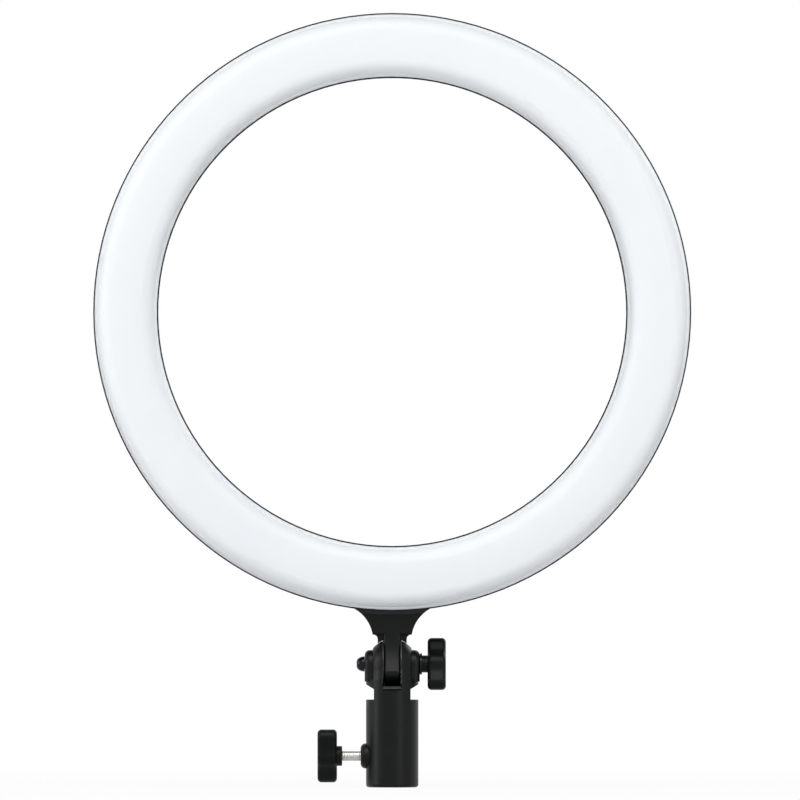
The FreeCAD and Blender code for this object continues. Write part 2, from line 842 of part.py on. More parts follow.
def cover_sector(inner, outer, half_angle, front_y, back_y, rounding):
    """Arc-shaped box on the back of the ring, its back edges rounded."""
    outline = [
        (outer, front_y, 0),
        (outer, back_y, rounding),
        (inner, back_y, rounding),
        (inner, front_y, 0),
    ]
    return ring_solid(outline, -half_angle, 2 * half_angle)


def control_cover():
    """Cover over the control board, with openings for the dials, the button and the inlet."""
    body = cover_sector(
        cover_inner_radius, cover_outer_radius, cover_half_angle, housing_back_y, cover_back_y, 0
    )
    rims = edges_near(body, lambda e: e.BoundBox.YMax > housing_back_y + 1e-3)
    body = body.makeFillet(cover_edge_round, rims)
    shell_angle = math.degrees(cover_wall / cover_mid_radius)
    hollow = cover_sector(
        cover_inner_radius + cover_wall,
        cover_outer_radius - cover_wall,
        cover_half_angle - shell_angle,
        housing_back_y - 1,
        cover_inside_y,
        cover_inner_round,
    )
    body = body.cut(hollow)
    columns = []
    holes = []
    outside_y = cover_back_y + 1
    head_y = cover_back_y - cover_counterbore_depth
    for radius, angle in column_places():
        columns.append(ring_rod(column_radius, radius, angle, housing_back_y, cover_inside_y + 1))
        holes.append(ring_rod(loose_hole_radius, radius, angle, housing_back_y - 1, outside_y))
        holes.append(ring_rod(screw_head_radius + counterbore_gap, radius, angle, head_y, outside_y))
    for angle in dial_angles.values():
        holes.append(wall_hole(pot_bushing_radius + cover_hole_gap, angle))
    holes.append(wall_hole(button_radius + button_gap, button_angle))
    holes.append(wall_hole(inlet_collar_radius + cover_hole_gap, inlet_angle))
    return body.fuse(columns).removeSplitter().cut(holes)


def wall_hole(radius, angle):
    """Hole through the control box's back wall."""
    return box_rod(radius, angle, cover_inside_y - 1, cover_back_y + 1)


def cover_screws():
    """Screws through the control box's columns into the housing."""
    head_y = cover_back_y - cover_counterbore_depth + seat_gap
    length = head_y - board_back_y - cover_screw_end_gap
    return group([ring_screw(radius, angle, head_y, length) for radius, angle in column_places()])


def control_board():
    """Circuit board inside the control box."""
    inner = cover_inner_radius + cover_wall + control_board_margin
    outer = cover_outer_radius - cover_wall - control_board_margin
    low = control_board_front_y
    return cover_sector(inner, outer, control_board_half_angle, low, control_board_back_y, 0)


def dial_pots():
    """Rotary controls on the board, each with a threaded bushing through the box's wall."""
    half = pot_body_width / 2
    solids = []
    for angle in dial_angles.values():
        z = ring_z - cover_mid_radius
        body = block((-half, half), (control_board_back_y, cover_inside_y - face_gap), (z - half, z + half))
        bushing = box_rod(pot_bushing_radius, 0, cover_inside_y - 1, cover_back_y + pot_nut_height)
        bore_y = control_board_back_y + pot_bore_floor
        bore = box_rod(shaft_radius + running_gap, 0, bore_y, cover_back_y + pot_nut_height + 1)
        solids.append(on_ring(body.fuse(bushing).removeSplitter().cut(bore), angle))
    return group(solids)


def pot_nuts():
    """Thin nuts that clamp the rotary controls to the box's wall."""
    solids = []
    for angle in dial_angles.values():
        start = ring_point(cover_mid_radius, 0, cover_back_y + face_gap)
        nut = hexagon(pot_nut_radius * math.sqrt(3), start, pot_nut_height, Y_AXIS)
        high = cover_back_y + pot_nut_height + 1
        hole = box_rod(pot_bushing_radius + pot_nut_gap, 0, cover_back_y - 1, high)
        solids.append(on_ring(nut.cut(hole), angle))
    return group(solids)


def dial_shaft(angle):
    """Shaft of one rotary control, up into its dial."""
    start = control_board_back_y + pot_bore_floor + 2 * running_gap
    end = cover_back_y + dial_lift + dial_height - dial_cap_thickness
    return box_rod(shaft_radius, angle, start, end)


def dial(angle):
    """Fluted dial with a pointer groove, hollow underneath to clear the nut."""
    low = cover_back_y + dial_lift
    high = low + dial_height
    body = box_rod(dial_radius, 0, low, high)
    body = body.makeFillet(dial_edge_round, edges_near(body, lambda e: e.BoundBox.YMin > high - 1e-3))
    cuts = [
        box_rod(dial_recess_radius, 0, low - 1, low + dial_recess_depth),
        box_rod(shaft_radius + face_gap, 0, low - 1, high - dial_cap_thickness + seat_gap),
    ]
    centre = ring_point(cover_mid_radius, 0, 0)
    half = dial_mark_width / 2
    mark_z = (centre.z + dial_mark_start, centre.z + dial_radius + 1)
    cuts.append(block((-half, half), (high - dial_mark_depth, high + 1), mark_z))
    for i in range(dial_flutes):
        turn = 2 * math.pi * (i + 0.5) / dial_flutes
        reach = dial_radius + dial_flute_shift
        place = centre + V(reach * math.cos(turn), low - 1, reach * math.sin(turn))
        cuts.append(rod(dial_flute_radius, place, place + V(0, dial_height + 2, 0)))
    return on_ring(body.cut(cuts), angle)


def power_button():
    """Button cap with its hidden flange and the stem that reaches the switch."""
    flange_y = cover_inside_y - button_gap
    top = cover_back_y + button_proud
    cap = box_rod(button_radius, button_angle, flange_y - button_flange_thickness, top)
    rim = edges_near(cap, lambda e: e.BoundBox.YMin > top - 1e-3)
    cap = cap.makeFillet(button_edge_round, rim)
    flange_radius = button_radius + button_flange
    flange = box_rod(flange_radius, button_angle, flange_y - button_flange_thickness, flange_y)
    stem_y = control_board_back_y + switch_height + button_travel + button_stem_gap
    stem = box_rod(button_stem_radius, button_angle, stem_y, flange_y)
    return cap.fuse([flange, stem]).removeSplitter()


def power_switch():
    """Small switch on the board under the button, open in the middle for the stem."""
    half = switch_width / 2
    z = ring_z - cover_mid_radius
    body = block(
        (-half, half), (control_board_back_y, control_board_back_y + switch_height), (z - half, z + half)
    )
    return on_ring(body, button_angle)


def dc_inlet():
    """Round power inlet on the board, its collar through the box's wall."""
    half = inlet_width / 2
    z = ring_z - cover_mid_radius
    body = block((-half, half), (control_board_back_y, cover_inside_y - face_gap), (z - half, z + half))
    end = cover_back_y + inlet_collar_proud
    collar = box_rod(inlet_collar_radius, 0, cover_inside_y - 1, end)
    bore = box_rod(inlet_bore_radius, 0, end - inlet_bore_depth, end + 1)
    pin = box_rod(inlet_pin_radius, 0, end - inlet_bore_depth - 1, end - inlet_pin_drop)
    inlet = body.fuse(collar).removeSplitter().cut(bore).fuse(pin).removeSplitter()
    return on_ring(inlet, inlet_angle)


def wire_harness():
    """Leads from the control board through the housing to the back of the light board."""
    solids = []
    for i in range(wire_count):
        offset = (i - (wire_count - 1) / 2) * wire_spacing
        start = ring_point(board_mid_radius, wire_angle, board_back_y) + V(offset, 0, 0)
        end = V(start.x, control_board_front_y, start.z)
        solids.append(rod(wire_radius, start, end))
    return group(solids)


# Knobs


def wing_solid(x0, x1, centre_z, turn):
    """Solid of a wing knob between two planes across X, turned about its own axis."""
    low = min(x0, x1)
    length = abs(x1 - x0)
    half = wing_length / 2
    end_radius = wing_thickness / 2
    rise = math.sqrt((wing_hub_radius + wing_blend) ** 2 - (end_radius + wing_blend) ** 2)
    share = wing_hub_radius / (wing_hub_radius + wing_blend)
    touch = V(0, (end_radius + wing_blend) * share, rise * share)
    hollow = V(0, end_radius + wing_blend, rise)
    middle = hollow + ((touch - hollow).normalize() + V(0, -1, 0)).normalize() * wing_blend
    tip = half - end_radius
    slant = end_radius * math.sqrt(0.5)
    bar_start = V(0, end_radius, rise)
    bar_end = V(0, end_radius, tip)
    crown = V(0, slant, tip + slant)
    top = V(0, 0, half)
    side = V(0, wing_hub_radius, 0)
    hub_turn = math.atan2(touch.z, touch.y) / 2
    hub_middle = V(0, wing_hub_radius * math.cos(hub_turn), wing_hub_radius * math.sin(hub_turn))
    quarter = (side, hub_middle, touch, middle, bar_start, bar_end, crown, top)
    edges = []
    for y_sign, z_sign in ((1, 1), (1, -1), (-1, -1), (-1, 1)):
        p = [V(low, point.y * y_sign, point.z * z_sign + centre_z) for point in quarter]
        edges.append(Part.Arc(p[0], p[1], p[2]).toShape())
        edges.append(Part.Arc(p[2], p[3], p[4]).toShape())
        edges.append(Part.makeLine(p[4], p[5]))
        edges.append(Part.Arc(p[5], p[6], p[7]).toShape())
    wire = Part.Wire(Part.__sortEdges__(edges))
    solid = extruded(wire, V(length, 0, 0))
    rims = edges_near(solid, lambda e: e.BoundBox.XLength < 1e-6)
    solid = solid.makeFillet(wing_edge_round, rims)
    solid.rotate(V(0, 0, centre_z), X_AXIS, turn)
    return solid


def tilt_knob():
    """Wing knob that locks the tilt, with a seat for its nut."""
    wings = wing_solid(tilt_wing_x, tilt_end_x, pivot_z, tilt_knob_turn)
    collar_end = pivot_at(tilt_wing_x + knob_collar_overlap)
    collar = rod(tilt_knob_collar_radius, pivot_at(tilt_knob_x), collar_end)
    bore = rod(bolt_radius + running_gap, pivot_at(tilt_knob_x - 1), pivot_at(tilt_end_x - knob_end_wall))
    seat_length = knob_nut_length + 2 * face_gap
    seat = hexagon(knob_nut_flats + 2 * face_gap, pivot_at(tilt_nut_seat_x), seat_length, X_AXIS)
    return wings.fuse(collar).removeSplitter().cut([bore, seat])


def tilt_knob_nut():
    """Nut moulded into the tilt knob, on the bolt's thread."""
    nut = hexagon(knob_nut_flats, pivot_at(tilt_nut_seat_x + face_gap), knob_nut_length, X_AXIS)
    return nut.cut(rod(bolt_radius + running_gap, pivot_at(tilt_wing_x), pivot_at(tilt_end_x)))


def clamp_knob():
    """Wing knob moulded over the clamp screw's head."""
    wings = wing_solid(clamp_wing_x, clamp_end_x, clamp_z, clamp_knob_turn)
    collar_end = clamp_at(clamp_wing_x - knob_collar_overlap)
    collar = rod(clamp_collar_radius, clamp_at(clamp_collar_x), collar_end)
    rim = edges_near(collar, lambda e: abs(e.CenterOfMass.x - clamp_collar_x) < 1e-3)
    collar = collar.makeFillet(clamp_collar_round, rim)
    head_x = clamp_end_x + knob_end_wall
    bore = rod(clamp_screw_radius + face_gap, clamp_at(clamp_collar_x + 1), clamp_at(head_x))
    seat_length = knob_nut_length + 2 * face_gap
    seat = hexagon(knob_nut_flats + 2 * face_gap, clamp_at(head_x), seat_length, X_AXIS)
    return wings.fuse(collar).removeSplitter().cut([bore, seat])


def clamp_screw():
    """Screw that locks the socket on the spigot, its hexagonal head inside the knob."""
    head_x = clamp_end_x + knob_end_wall + face_gap
    shank = rod(clamp_screw_radius, clamp_at(head_x), clamp_at(clamp_screw_tip_x))
    head = hexagon(knob_nut_flats, clamp_at(head_x), knob_nut_length, X_AXIS)
    hole_end = clamp_at(clamp_screw_tip_x - clamp_pad_stem_length - clamp_pad_stem_gap)
    hole = rod(clamp_pad_stem_radius + running_gap, clamp_at(0), hole_end)
    return shank.fuse(head).removeSplitter().cut(hole)


def clamp_pad():
    """Brass pad on the screw's tip, turning on its own stem so that it doesn't mark the spigot."""
    face = clamp_at(clamp_pad_x)
    back = clamp_at(clamp_pad_x - clamp_pad_thickness)
    stem_end = clamp_at(clamp_screw_tip_x - clamp_pad_stem_length)
    disc = rod(clamp_pad_radius, back, face)
    return disc.fuse(rod(clamp_pad_stem_radius, stem_end, back)).removeSplitter()


def main():
    os.makedirs("parts", exist_ok=True)
    save("stand_socket", stand_socket())
    save("clamp_insert", clamp_insert())
    save("pivot_bolt", pivot_bolt())
    save("friction_washers", friction_washers())
    save("thrust_washer", thrust_washer())
    save("tongue_bush", tongue_bush())
    save("tilt_bracket", tilt_bracket())
    save("bracket_screws", bracket_screws())
    save("tilt_knob", tilt_knob())
    save("tilt_knob_nut", tilt_knob_nut())
    save("clamp_knob", clamp_knob())
    save("clamp_screw", clamp_screw())
    save("clamp_pad", clamp_pad())
    save("rear_housing", rear_housing())
    save("diffuser", diffuser())
    save("housing_screws", housing_screws())
    save("led_board", led_board())
    save("board_screws", board_screws())
    save("leds_cool", led_row(board_mid_radius - led_row_offset, 0.0))
    save("leds_warm", led_row(board_mid_radius + led_row_offset, 180.0 / led_count))
    save("control_cover", control_cover())
    save("cover_screws", cover_screws())
    save("control_board", control_board())
    save("dial_pots", dial_pots())
    save("pot_nuts", pot_nuts())
    save("power_button", power_button())
    save("power_switch", power_switch())
    save("dc_inlet", dc_inlet())
    save("wire_harness", wire_harness())
    for name, angle in dial_angles.items():
        save(f"{name}_shaft", dial_shaft(angle))
        save(f"{name}_dial", dial(angle))


main()
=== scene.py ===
import json
import math

import bpy
import numpy as np
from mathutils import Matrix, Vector


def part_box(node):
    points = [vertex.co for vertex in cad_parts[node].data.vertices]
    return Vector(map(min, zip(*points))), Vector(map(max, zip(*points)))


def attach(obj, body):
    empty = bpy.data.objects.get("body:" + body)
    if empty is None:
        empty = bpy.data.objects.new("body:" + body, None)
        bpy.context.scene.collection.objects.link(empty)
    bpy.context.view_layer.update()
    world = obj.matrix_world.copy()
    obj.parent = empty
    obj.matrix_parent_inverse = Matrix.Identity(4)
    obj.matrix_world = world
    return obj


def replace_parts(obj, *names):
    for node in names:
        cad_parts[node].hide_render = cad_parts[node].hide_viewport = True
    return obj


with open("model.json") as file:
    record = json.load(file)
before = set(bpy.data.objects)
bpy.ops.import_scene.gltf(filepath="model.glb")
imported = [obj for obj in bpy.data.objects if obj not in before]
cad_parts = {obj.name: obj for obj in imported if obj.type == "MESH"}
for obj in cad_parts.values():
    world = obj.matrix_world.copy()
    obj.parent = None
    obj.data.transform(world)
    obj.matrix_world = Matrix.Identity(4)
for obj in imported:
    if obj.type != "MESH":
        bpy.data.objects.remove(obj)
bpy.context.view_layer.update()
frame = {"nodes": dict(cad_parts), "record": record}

# LED ring light, unlit: an opal ring on a black moulded neck, two wing knobs and a stand socket.
# Metres, +Z up, and the ring's face looks along -Y.

MM = 0.001
nodes = frame["nodes"]
smooth_angle = math.radians(35)

# Threads of the clamp screw and the pivot bolt, with the rows per pitch and the columns round
thread_radius = 2.5 * MM
thread_pitch = 0.8 * MM
thread_depth = 0.08 * MM
thread_blunt = 0.125
thread_run_out = 0.4 * MM
thread_steps = 16
thread_sides = 48

# Clamp screw
clamp_head_height = 4.0 * MM
clamp_tip_radius = 1.7 * MM
pad_bore_radius = 1.05 * MM
pad_bore_depth = 2.5 * MM

# Pivot bolt
bolt_head_height = 4.0 * MM
bolt_head_side = 0.1 * MM
bolt_thread_length = 11.0 * MM
bolt_tip_radius = 1.8 * MM
socket_mouth = 1.2 * MM
socket_flats = 2.0 * MM
socket_depth = 2.0 * MM
socket_bevel = 0.15 * MM
dome_rows = 12

# Washers round the pivot
washer_play = 0.005 * MM
washer_bore = 2.6 * MM
friction_washer_edge = 0.12 * MM
thrust_washer_edge = 0.25 * MM
edge_rows = 6

# Pan head screws of the back
screw_head_height = 1.2 * MM
screw_head_crown = 0.35
screw_shank_radius = 1.45 * MM
screw_tip_radius = 0.9 * MM
screw_tip_length = 0.6 * MM
screw_turn = 0.9
screw_sides = 48

# Cross recess of a pan head, and the radii of the head's rows, which are close together over it
cross_half_width = 0.36 * MM
cross_flank = 0.25 * MM
cross_reach = 1.45 * MM
cross_run_out = 0.5 * MM
cross_depth = 0.75 * MM
cross_rows = np.linspace(0.08, 1.75, 18) * MM
rim_rows_start = 2.0 * MM
rim_rows = 4

# White pointer of a dial, with its floor and face under the dial's top
pointer_inner = 1.7 * MM
pointer_outer = 6.6 * MM
pointer_width = 0.8 * MM
pointer_floor = 0.42 * MM
pointer_face = 0.12 * MM

# Ticks printed round the dials
tick_count = 11
tick_sweep = 270.0
tick_inner = 8.5 * MM
tick_outer = 9.6 * MM
tick_width = 0.45 * MM
tick_height = 0.03 * MM

# Widths of the clouds in the surfaces' tone
flow_cloud = 9 * MM
opal_cloud = 60 * MM
metal_cloud = 4 * MM
plain_cloud = 5 * MM

# Opal cover and turned metal
opal_scatter = 1.5 * MM
opal_grain = 0.6 * MM
opal_grain_depth = 0.003 * MM
lathe_stretch = 0.08
lathe_depth = 0.002 * MM

# Camera: the width that it sees at the rim's plane, and the pixel where the ring's middle shows
view_width = 0.4013
frame_pixels = 800
ring_pixel = (392.2, 312.0)
camera_distance = 16.0
camera_reach = 50.0
sensor_width = 36.0

# Floor, which turns to plain white away from the socket, and room light
floor_size = 30.0
floor_glow = 0.93
fade_start = 0.1
fade_end = 0.9
room_light = 0.25


# Places of the parts


def middle(node):
    """Middle of a node's box."""
    low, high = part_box(node)
    return (low + high) / 2


ring_low, ring_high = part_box("rear_housing")
ring_radius = (ring_high.x - ring_low.x) / 2
ring_z = ring_high.z - ring_radius
rim_y = ring_low.y
pivot_z = middle("pivot_bolt").z
clamp_z = middle("clamp_screw").z
cover_back_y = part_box("control_cover")[1].y


# Surfaces


def skin(name, grids, looped=False):
    """One mesh from several grids of points, each closed round its columns.

    A looped grid joins its last row to its first. Any other has a pole at each end, the mean of the
    row there.
    """
    corners, faces, start = [], [], 0
    for points in grids:
        rows, columns = points.shape[:2]
        index = start + np.arange(rows * columns).reshape(rows, columns)
        corners += points.reshape(-1, 3).tolist()
        start += rows * columns
        if looped:
            index = np.concatenate([index, index[:1]])
        after = np.roll(index, -1, axis=1)
        quads = np.stack([index[:-1], after[:-1], after[1:], index[1:]], axis=-1)
        faces += quads.reshape(-1, 4).tolist()
        if not looped:
            faces += np.stack([after[0], index[0], np.full(columns, start)], axis=-1).tolist()
            faces += np.stack([index[-1], after[-1], np.full(columns, start + 1)], axis=-1).tolist()
            corners += [points[0].mean(axis=0).tolist(), points[-1].mean(axis=0).tolist()]
            start += 2
    mesh = bpy.data.meshes.new(name)
    mesh.from_pydata(corners, [], faces)
    mesh.update()
    return mesh


def piece(name, mesh, material, body):
    """Puts a mesh in the scene as a piece that rides a body, smooth except at its sharp edges."""
    mesh.materials.append(materials[material])
    mesh.shade_smooth()
    mesh.set_sharp_from_angle(angle=smooth_angle)
    thing = bpy.data.objects.new(name, mesh)
    bpy.context.scene.collection.objects.link(thing)
    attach(thing, body)
    return thing


def round_x(x, radius, centre_z):
    """Points round an axis along X: (x, -r sin t, z + r cos t), r given per row and angle."""
    angle = np.linspace(0, 2 * np.pi, radius.shape[1], endpoint=False)
    along = np.broadcast_to(x[:, None], radius.shape)
    return np.stack([along, -radius * np.sin(angle), centre_z + radius * np.cos(angle)], axis=-1)


def round_rows(radii, columns=thread_sides):
    """Rows of one radius each, the same at every angle."""
    return np.outer(radii, np.ones(columns))


def hexagon_row(flats):
    """Row of a hexagon: half the flats over cos of the angle from the nearest flat's middle."""
    angle = np.linspace(0, 2 * np.pi, thread_sides, endpoint=False)
    near = np.mod(angle + np.pi / 6, np.pi / 3) - np.pi / 6
    return flats / 2 / np.cos(near)


def thread_rows(start, end):
    """Places and rows of an outer thread along X: r = R - depth * s(x / pitch - t / 2 pi).

    s is a triangle wave with blunted tips, and rises to 1 over one pitch at both ends.
    """
    count = int(round((end - start) / thread_pitch * thread_steps)) + 1
    x = np.linspace(start, end, count)
    angle = np.linspace(0, 1, thread_sides, endpoint=False)
    phase = np.mod(x[:, None] / thread_pitch - angle[None, :], 1.0)
    triangle = 1 - np.abs(2 * phase - 1)
    wave = np.clip((1 + 2 * thread_blunt) * triangle - thread_blunt, 0, 1)
    fade = np.clip(np.minimum(x - start, end - x) / thread_pitch, 0, 1)[:, None]
    return x, thread_radius - thread_depth * (1 - (1 - wave) * fade)


# Pieces


def clamp_screw():
    """Profile r over x round the clamp's axis: hexagonal head, thread, and the pad's bore."""
    low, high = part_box("clamp_screw")
    tip = high.x
    head_end = low.x + clamp_head_height
    head = hexagon_row(high.z - low.z)
    thread_x, thread = thread_rows(head_end, tip - thread_run_out)
    end = round_rows([clamp_tip_radius, pad_bore_radius, pad_bore_radius])
    x = np.concatenate([[low.x, head_end], thread_x, [tip, tip, tip - pad_bore_depth]])
    radius = np.concatenate([[head, head], thread, end])
    mesh = skin("clamp_screw_thread", [round_x(x, radius, clamp_z)])
    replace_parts(piece("clamp_screw_thread", mesh, "zinc_plated_steel", "clamp"), "clamp_screw")


def pivot_bolt():
    """Profile r over x round the pivot: hexagonal socket, dome and thread.

    The dome is x = low + height * (1 - cos t), r = mouth + (R - mouth) * sin t.
    """
    low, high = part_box("pivot_bolt")
    head_radius = (high.z - low.z) / 2
    head_base = low.x + bolt_head_height
    dome_height = head_base - bolt_head_side - low.x
    turn = np.linspace(0, np.pi / 2, dome_rows)[1:]
    dome_x = low.x + dome_height * (1 - np.cos(turn))
    dome = round_rows(socket_mouth + (head_radius - socket_mouth) * np.sin(turn))
    socket_x = [low.x + socket_depth, low.x + socket_bevel, low.x]
    socket = hexagon_row(socket_flats)
    mouth = round_rows([socket_mouth])
    base = round_rows([head_radius, thread_radius])
    thread_x, thread = thread_rows(high.x - bolt_thread_length, high.x - thread_run_out)
    end = round_rows([bolt_tip_radius])
    x = np.concatenate([socket_x, dome_x, [head_base, head_base], thread_x, [high.x]])
    radius = np.concatenate([[socket, socket], mouth, dome, base, thread, end])
    mesh = skin("pivot_bolt_dome", [round_x(x, radius, pivot_z)])
    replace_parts(piece("pivot_bolt_dome", mesh, "black_oxide_steel", "stand_mount"), "pivot_bolt")


def washer_grid(low_x, high_x, rim, edge):
    """Washer round the pivot with rounded rims: r = R - e + e sin t, x = face + e - e cos t."""
    turn = np.linspace(0, np.pi / 2, edge_rows)
    near = low_x + edge * (1 - np.cos(turn))
    far = high_x - edge * (1 - np.sin(turn))
    x = np.concatenate([[low_x], near, far, [high_x]])
    rising = rim - edge + edge * np.sin(turn)
    falling = rim - edge + edge * np.cos(turn)
    profile = np.concatenate([[washer_bore], rising, falling, [washer_bore]])
    return round_x(x, round_rows(profile), pivot_z)


def friction_washers():
    """The two washers beside the tongue, from the ears to a hair's breadth off the bush's ends."""
    low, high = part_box("friction_washers")
    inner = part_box("tongue_bush")[1].x + washer_play
    rim = (high.z - low.z) / 2
    sides = ((low.x, -inner), (inner, high.x))
    grids = [washer_grid(*side, rim, friction_washer_edge) for side in sides]
    mesh = skin("friction_washer_rims", grids, looped=True)
    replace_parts(piece("friction_washer_rims", mesh, "black_acetal", "stand_mount"), "friction_washers")


def thrust_washer():
    """The washer between the right ear's boss and the tilt knob, a hair's breadth off both."""
    low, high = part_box("thrust_washer")
    boss_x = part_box("stand_socket")[1].x + washer_play
    knob_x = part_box("tilt_knob")[0].x - washer_play
    grid = washer_grid(boss_x, knob_x, (high.z - low.z) / 2, thrust_washer_edge)
    mesh = skin("thrust_washer_rim", [grid], looped=True)
    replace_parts(piece("thrust_washer_rim", mesh, "black_oxide_steel", "tilt_washer"), "thrust_washer")


def cross_screw(low, high, turn):
    """Pan head screw in a box, a profile y over r round its axis along Y, with its cross turned.

    The head is y = top - crown * height * (r / R)^2 minus the cross, a trough along two arms:
    depth * clip((reach - r) / run out) * clip((half width + flank - min(|u|, |v|)) / flank).
    """
    x, z = (low[0] + high[0]) / 2, (low[2] + high[2]) / 2
    head_radius = (high[0] - low[0]) / 2
    under_y = high[1] - screw_head_height
    angle = np.linspace(0, 2 * np.pi, screw_sides, endpoint=False)
    head_rows = np.concatenate([cross_rows, np.linspace(rim_rows_start, head_radius, rim_rows)])
    radius = round_rows(head_rows, screw_sides)
    u, v = radius * np.sin(angle + turn), radius * np.cos(angle + turn)
    off_arms = np.minimum(abs(u), abs(v))
    arm = np.clip((cross_half_width + cross_flank - off_arms) / cross_flank, 0, 1)
    inside = np.clip((cross_reach - radius) / cross_run_out, 0, 1)
    crown = screw_head_crown * screw_head_height * (radius / head_radius) ** 2
    y = high[1] - crown - cross_depth * arm * inside
    shank = [head_radius, screw_shank_radius, screw_shank_radius, screw_tip_radius]
    shank_y = [under_y, under_y, low[1] + screw_tip_length, low[1]]
    radius = np.concatenate([radius, round_rows(shank, screw_sides)])
    y = np.concatenate([y, round_rows(shank_y, screw_sides)])
    return np.stack([x + radius * np.cos(angle), y, z + radius * np.sin(angle)], axis=-1)


def loose_boxes(node):
    """Boxes of the loose patches of a node's surface, one for each face of its solids.

    Each corner takes the least number among those joined to it, until none changes.
    """
    mesh = nodes[node].data
    place = np.empty(len(mesh.vertices) * 3)
    mesh.vertices.foreach_get("co", place)
    place = place.reshape(-1, 3)
    edges = np.empty(len(mesh.edges) * 2, dtype=int)
    mesh.edges.foreach_get("vertices", edges)
    first, second = edges.reshape(-1, 2).T
    group = np.arange(len(place))
    changed = True
    while changed:
        before = group.copy()
        least = np.minimum(group[first], group[second])
        np.minimum.at(group, first, least)
        np.minimum.at(group, second, least)
        group = group[group]
        changed = not np.array_equal(group, before)
    patches = [place[group == number] for number in np.unique(group)]
    return [(patch.min(axis=0), patch.max(axis=0)) for patch in patches]


def back_screws(node):
    """Cross-recess screws in place of a node's plain ones, each turned a little differently.

    Each of a plain screw's five faces gives a screw of its own, so five lie in each other.
    """
    boxes = loose_boxes(node)
    grids = [cross_screw(low, high, screw_turn * i) for i, (low, high) in enumerate(boxes)]
    mesh = skin(node + "_cross", grids)
    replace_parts(piece(node + "_cross", mesh, "black_oxide_steel", "head"), node)


def bar(centre, lean, reach, width, levels):
    """Flat bar along a radius from a centre, leaning from +Z to +X, as two levels of four corners."""
    along = np.array([math.sin(lean), math.cos(lean)])
    side = np.array([math.cos(lean), -math.sin(lean)]) * width / 2
    near, far = along * reach[0], along * reach[1]
    flat = np.stack([near - side, near + side, far + side, far - side])
    x, z = flat[:, 0] + centre.x, flat[:, 1] + centre.z
    return np.stack([np.stack([x, np.full(4, y), z], axis=-1) for y in levels])


def dial_marks():
    """White bar in each dial's groove, and ticks round the dials printed on the box."""
    ticks = []
    tick_levels = (cover_back_y + tick_height, cover_back_y - tick_height)
    tick_turns = np.radians(np.linspace(-tick_sweep / 2, tick_sweep / 2, tick_count))
    for dial, body in (("brightness_dial", "brightness_control"), ("colour_dial", "colour_control")):
        centre = middle(dial)
        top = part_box(dial)[1].y
        lean = math.atan2(-centre.x, ring_z - centre.z)
        levels = (top - pointer_face, top - pointer_floor)
        mark = bar(centre, lean, (pointer_inner, pointer_outer), pointer_width, levels)
        name = dial.replace("dial", "pointer")
        piece(name, skin(name, [mark]), "white_print", body)
        reach = (tick_inner, tick_outer)
        ticks += [bar(centre, lean + turn, reach, tick_width, tick_levels) for turn in tick_turns]
    piece("dial_ticks", skin("dial_ticks", ticks), "white_print", "head")


# Shader helpers


def srgb(code):
    """Linear colour of an sRGB hex code, with alpha 1."""
    values = [int(code[i:i + 2], 16) / 255 for i in (1, 3, 5)]
    linear = [v / 12.92 if v <= 0.04045 else ((v + 0.055) / 1.055) ** 2.4 for v in values]
    return (*linear, 1.0)


def add(tree, kind, links=None, inputs=None, **settings):
    """Adds a node with its own settings, links into its sockets and fixed values on its sockets."""
    node = tree.nodes.new(kind)
    for name, value in settings.items():
        setattr(node, name, value)
    for socket, value in (inputs or {}).items():
        node.inputs[socket].default_value = value
    for socket, source in (links or {}).items():
        tree.links.new(source, node.inputs[socket])
    return node


def new_material(name):
    """Empty node material with its shader and object coordinates."""
    material = bpy.data.materials.new(name)
    material.use_nodes = True
    tree = material.node_tree
    tree.nodes.clear()
    shader = add(tree, "ShaderNodeBsdfPrincipled")
    add(tree, "ShaderNodeOutputMaterial", {"Surface": shader.outputs["BSDF"]})
    place = add(tree, "ShaderNodeTexCoord").outputs["Object"]
    return material, tree, shader, place


def noise(tree, place, size, detail=2.0):
    """Noise whose lumps are about as wide as a size in metres."""
    inputs = {"Scale": 1.0 / size, "Detail": detail}
    return add(tree, "ShaderNodeTexNoise", {"Vector": place}, inputs).outputs["Fac"]


def stretch(tree, value, low=0.0, high=1.0):
    """Stretches a noise's middle range over two values."""
    inputs = {"From Min": 0.3, "From Max": 0.7, "To Min": low, "To Max": high}
    return add(tree, "ShaderNodeMapRange", {"Value": value}, inputs).outputs["Result"]


def tone(tree, shader, cloud, colours):
    """Base colour that drifts between two hex colours with a noise."""
    ramp = add(tree, "ShaderNodeValToRGB", {"Fac": stretch(tree, cloud)})
    for stop, code in zip(ramp.color_ramp.elements, colours):
        stop.color = srgb(code)
    tree.links.new(ramp.outputs["Color"], shader.inputs["Base Color"])


def relief(tree, shader, height, depth):
    """Bump of a depth in metres."""
    bump = add(tree, "ShaderNodeBump", {"Height": height}, {"Distance": depth, "Strength": 1.0})
    tree.links.new(bump.outputs["Normal"], shader.inputs["Normal"])


# Materials


def moulded_plastic(name, colours, roughness, grain, depth, level):
    """Moulded black plastic: eroded satin grain, cloudy gloss as from flow and handling."""
    material, tree, shader, place = new_material(name)
    cloud = noise(tree, place, flow_cloud, detail=3.0)
    tone(tree, shader, cloud, colours)
    tree.links.new(stretch(tree, cloud, *roughness), shader.inputs["Roughness"])
    shader.inputs["Specular IOR Level"].default_value = level
    relief(tree, shader, noise(tree, place, grain), depth)
    return material


